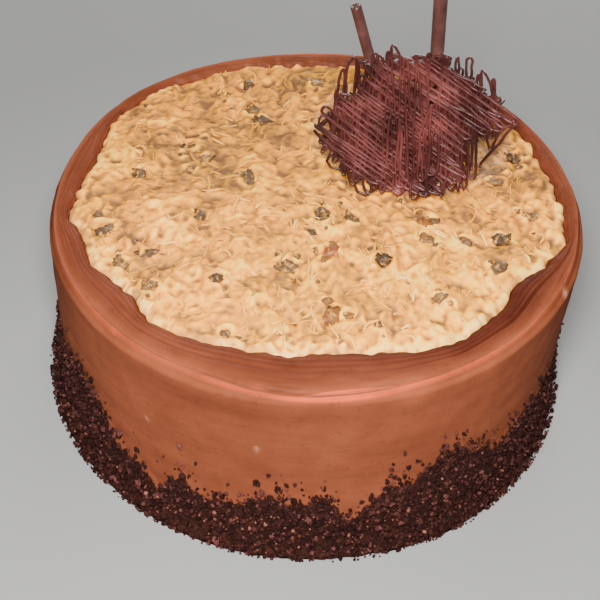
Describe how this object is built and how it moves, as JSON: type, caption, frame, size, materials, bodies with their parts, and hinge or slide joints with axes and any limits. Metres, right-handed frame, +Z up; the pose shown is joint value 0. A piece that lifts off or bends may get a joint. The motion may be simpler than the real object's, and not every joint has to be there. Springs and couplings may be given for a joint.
{
  "type": "frosted layer cake",
  "caption": "Whole round cake in combed chocolate buttercream with a coconut and pecan topping, crumbs round the foot and a chocolate lattice leaning on two chocolate sticks.",
  "frame": {"origin": "centre of the flat underside of the cake", "axes": "+Z up; the side shown in the picture faces -Y; +X to the right of that side, where the chocolate lattice and sticks stand near the back"},
  "size_m": [0.2299, 0.2275, 0.1532],
  "materials": {
    "buttercream": "smooth chocolate buttercream with a soft sheen, dark crumbs round the foot",
    "coconut_topping": "moist cream-coloured coconut shreds with pecan pieces",
    "dark_chocolate": "glossy piped dark chocolate",
    "milk_chocolate": "smooth rolled chocolate with a soft shine"
  },
  "bodies": {
    "root": {"cake": "buttercream", "coconut_topping": "coconut_topping", "lattice": "dark_chocolate", "stick_left": "milk_chocolate", "stick_right": "milk_chocolate"}
  },
  "joints": []
}
